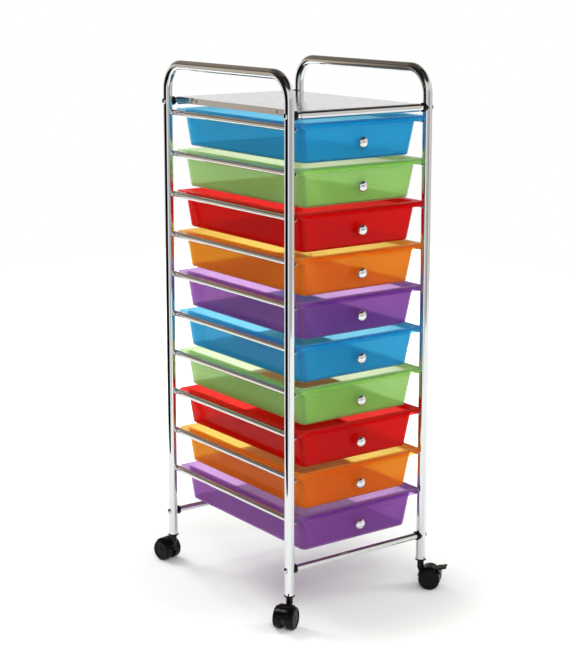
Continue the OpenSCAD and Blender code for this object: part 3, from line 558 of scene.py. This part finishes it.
def edge_tint_and_painted_lift(point):
    """How strongly the tint gathers at a point in metres from the lip's top: 1 at an edge.
    Under 0 is painted light: where the front skirt lies close over the wall, it is made clearer and so
    lighter, to lift the shade in the narrow gap behind it."""
    x, y, depth = abs(point.x) / MM, point.y / MM, -point.z / MM
    along = depth / BODY_DEPTH
    in_from_side = BODY_HALF_W - along * SIDE_TAPER - x
    in_from_front = y - (BODY_FRONT + along * FRONT_TAPER)
    on_skirt = y < LIP_FRONT + SKIRT_REACH and min(in_from_side, in_from_front) < -OUTSIDE
    past_body = min(max((x - BODY_HALF_W - FREE_FROM) / FREE_OVER, 0), 1)
    # Painted light: over the body the skirt gets a value below 0, so it looks lighter than the shade in its
    # gap.
    if on_skirt and past_body < 1 and depth > RIM_LINE:
        return SKIRT_PAINTED_LIFT + (SKIRT_FREE - SKIRT_PAINTED_LIFT) * past_body
    rim = (RIM_TINT if depth < RIM_LINE else SKIRT_FREE) if on_skirt else 0.0
    in_from_corner = max(in_from_side, in_from_front)
    at_corner = CORNER_TINT * min(max(1 - in_from_corner / CORNER_REACH, 0), 1) ** 0.5
    low_edge = max(1 - abs(depth - LOW_EDGE) / LOW_EDGE_REACH, 0)
    return max(rim, at_corner, low_edge)


shell_rings = drawer_rings()
print("drawer:", len(shell_rings), "rings of", len(shell_rings[0]), "points")


# %% Place the ten shells
RIB_W, RIB_LENGTH, RIB_HEIGHT, RIB_ROUND = 2.4, 3, 8, 0.6
RIB_FROM_REAR, RIB_DEPTH = 70, 63.3
RIB_TAPER = 0.915  # the share of the side's taper where the ribs stand


def stop_ribs(mesh, top):
    """Two small moulded ribs low on the sides, near the rear, that meet the rail below when tilted."""
    for side in (-1, 1):
        x = side * (BODY_HALF_W - SIDE_TAPER * RIB_TAPER)
        rib = bmesh.ops.create_cube(mesh, size=1.0)["verts"]
        bmesh.ops.scale(mesh, vec=(RIB_W * MM, RIB_LENGTH * MM, RIB_HEIGHT * MM), verts=rib)
        bmesh.ops.translate(mesh, vec=(x * MM, (BODY_REAR - RIB_FROM_REAR) * MM, top - RIB_DEPTH * MM),
                            verts=rib)
        bmesh.ops.bevel(mesh, geom=list({e for v in rib for e in v.link_edges}), offset=RIB_ROUND * MM,
                        segments=2, affect="EDGES")


DRAWERS = range(1, 11)
for number in DRAWERS:
    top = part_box(f"drawer_{number}")[1].z
    shell = bmesh.new()
    skin(shell, shell_rings, edge_tint_and_painted_lift)
    bmesh.ops.translate(shell, vec=(0, 0, top), verts=shell.verts)
    stop_ribs(shell, top)
    plastic = drawer_plastics[(number - 1) % len(drawer_plastics)]
    piece(f"drawer_shell_{number}", shell, plastic, f"drawer_body_{number}", f"drawer_{number}")

# %% [markdown]
# ## Knobs
# Each knob is turned from zinc alloy, polished and chromed, and a screw from inside the drawer holds it. A
# lathe makes such a shape in one go, and so does a profile turned round an axis: a straight foot, a
# hollow neck, and a head that is almost a ball. The axis leans with the drawer's front.

# %% Knobs
KNOB_HEAD = [(10.0 * math.cos(math.radians(a)), 9.5 + 8.0 * math.sin(math.radians(a)))
             for a in range(-24, 90, 6)]
KNOB_PROFILE = [(2.0, 0.2), (4.2, 0.0), (4.5, 0.4), (4.5, 2.6), (4.9, 3.8), (5.8, 5.0),
                (7.3, 5.9)] + KNOB_HEAD + [(0.0, 17.5)]
SCREW_PROFILE = [(0.0, -3.1), (0.6, -3.1), (0.8, -4.3), (2.4, -4.2), (3.5, -3.6), (4.0, -2.7),
                 (4.0, -2.0), (2.0, -2.0), (2.0, 0.2)]
KNOB_DROP = 37.25  # from the lip's top down to the knob's axis
FRONT_LEAN = math.atan2(FRONT_TAPER, BODY_DEPTH)
knob_y = BODY_FRONT + FRONT_TAPER * KNOB_DROP / BODY_DEPTH
for number in DRAWERS:
    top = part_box(f"drawer_{number}")[1].z
    place = (Matrix.Translation((0, knob_y * MM, top - KNOB_DROP * MM))
             @ Matrix.Rotation(math.pi / 2 + FRONT_LEAN, 4, "X") @ Matrix.Scale(MM, 4))
    knob = bmesh.new()
    turn(knob, SCREW_PROFILE + KNOB_PROFILE, place, 48)
    piece(f"turned_knob_{number}", knob, knob_chrome, f"drawer_body_{number}", f"knob_{number}")
print("knobs:", len(DRAWERS), "with their feet at y", round(knob_y, 1), "mm, leaning",
      round(math.degrees(FRONT_LEAN), 1), "degrees")

# %% [markdown]
# ## Tube sockets
# A plastic socket is pressed into each tube end. Only its flange shows: a fat black ring with a rounded
# rim, under the chrome. It is one more turned profile.

# %% Tube sockets
UPRIGHT_X, UPRIGHT_Y, TUBE_END = 150, 190.5, 54.5
SOCKET_PROFILE = ([(3.8, -3.5), (6.4, -3.5), (8.0, -3.2)] + arc(8.4, -1.55, 1.6, -75, 80, 8)
                  + [(7.5, 0.05), (7.5, 24.0), (3.8, 24.0), (3.8, -3.5)])
sockets = bmesh.new()
for x in (-UPRIGHT_X, UPRIGHT_X):
    for y in (-UPRIGHT_Y, UPRIGHT_Y):
        turn(sockets, SOCKET_PROFILE,
             Matrix.Translation((x * MM, y * MM, TUBE_END * MM)) @ Matrix.Scale(MM, 4), 40)
bmesh.ops.remove_doubles(sockets, verts=sockets.verts, dist=1e-6)
piece("moulded_tube_sockets", sockets, black_abs, "frame", "caster_sockets")
print("sockets: flange", round(2 * max(radius for radius, _ in SOCKET_PROFILE), 1), "mm across")

# %% [markdown]
# ## Wheels
# A caster has two moulded wheels on one axle. Each has a smooth tread, a round shoulder of 4 mm, a rim and
# a disc sunk by a millimetre with a small button over the axle's end. The bore is blind, so a profile
# turned round the axle is the whole wheel.

# %% Wheels
WHEEL_PROFILE = ([(0.0, 12.0), (2.2, 12.0), (2.2, 0.2), (2.4, 0.0), (19.1, 0.0)]
                 + arc(19.1, 0.9, 0.9, -90, 0, 4) + [(20.0, 5.5)] + arc(16.0, 10.5, 4.0, 0, 90, 9)
                 + [(14.9, 14.5)] + arc(14.6, 14.1, 0.4, 90, 180, 3)
                 + [(13.9, 13.65), (13.4, 13.5), (6.4, 13.5), (5.9, 13.6), (5.6, 13.9), (5.2, 14.15),
                    (4.6, 14.25), (0.0, 14.3)])
# Corner, place of the upright, and the way the caster trails, in degrees anticlockwise from +X.
CASTERS = {"fl": ("front_left", -UPRIGHT_X, -UPRIGHT_Y, 214),
           "fr": ("front_right", UPRIGHT_X, -UPRIGHT_Y, 311),
           "rl": ("rear_left", -UPRIGHT_X, UPRIGHT_Y, 102),
           "rr": ("rear_right", UPRIGHT_X, UPRIGHT_Y, 60)}
AXLE_TRAIL, AXLE_Z, WHEEL_FACE = 18.0, 20.0, 4.5
for short, (corner, x, y, heading) in CASTERS.items():
    hub = (Matrix.Translation((x * MM, y * MM, 0)) @ Matrix.Rotation(math.radians(heading), 4, "Z")
           @ Matrix.Translation((AXLE_TRAIL * MM, 0, AXLE_Z * MM)))
    for letter in "ab":
        low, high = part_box(f"wheel_{letter}_{short}")
        outward = 1 if (hub.inverted() @ ((low + high) / 2)).y > 0 else -1
        place = (hub @ Matrix.Rotation(-outward * math.pi / 2, 4, "X")
                 @ Matrix.Translation((0, 0, WHEEL_FACE * MM)) @ Matrix.Scale(MM, 4))
        wheel = bmesh.new()
        turn(wheel, WHEEL_PROFILE, place, 56)
        piece(f"turned_wheel_{letter}_{short}", wheel, wheel_nylon, f"wheel_{letter}_{corner}",
              f"wheel_{letter}_{short}")
print("wheels:", 2 * len(CASTERS), "of", 2 * max(radius for radius, _ in WHEEL_PROFILE), "mm")

# %% [markdown]
# ## Moulded fittings
# Hoods, brake levers and saddles come out of a mould with every edge rounded by half a millimetre or so.
# Bevelling such crossing shapes edge by edge is fiddly. Remeshing a copy of the solid in small voxels and
# relaxing it rounds all edges at once, as the mould does, and keeps the shape where the frame has it.

# %% Moulded fittings
def softened(name, solid, material, body, voxel_mm, rounds, kept):
    """A rounded copy of a solid, which stands for it: voxels, rounds of relaxing, share of faces kept."""
    source = bpy.data.objects.new(name + "_source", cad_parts[solid].data.copy())
    bpy.context.scene.collection.objects.link(source)
    voxels = source.modifiers.new("voxels", "REMESH")
    voxels.mode = "VOXEL"
    voxels.voxel_size = voxel_mm * MM
    relax = source.modifiers.new("relax", "SMOOTH")
    relax.factor, relax.iterations = 0.5, rounds
    source.modifiers.new("thin", "DECIMATE").ratio = kept
    mesh = bmesh.new()
    mesh.from_object(source, bpy.context.evaluated_depsgraph_get())
    bpy.data.objects.remove(source)
    faces = len(mesh.faces)
    piece(name, mesh, material, body, solid)
    return faces


counts = [softened("moulded_saddles", "crossbar_saddles", black_abs, "frame", 0.6, 5, 0.4)]
for short, (corner, *_) in CASTERS.items():
    counts.append(softened(f"moulded_hood_{short}", f"caster_hood_{short}", black_nylon, f"caster_{corner}",
                           0.55, 6, 0.35))
    if corner.startswith("front"):
        counts.append(softened(f"moulded_lever_{short}", f"brake_lever_{short}", black_nylon,
                               f"brake_{corner}", 0.5, 7, 0.4))
print("moulded fittings:", counts, "faces")
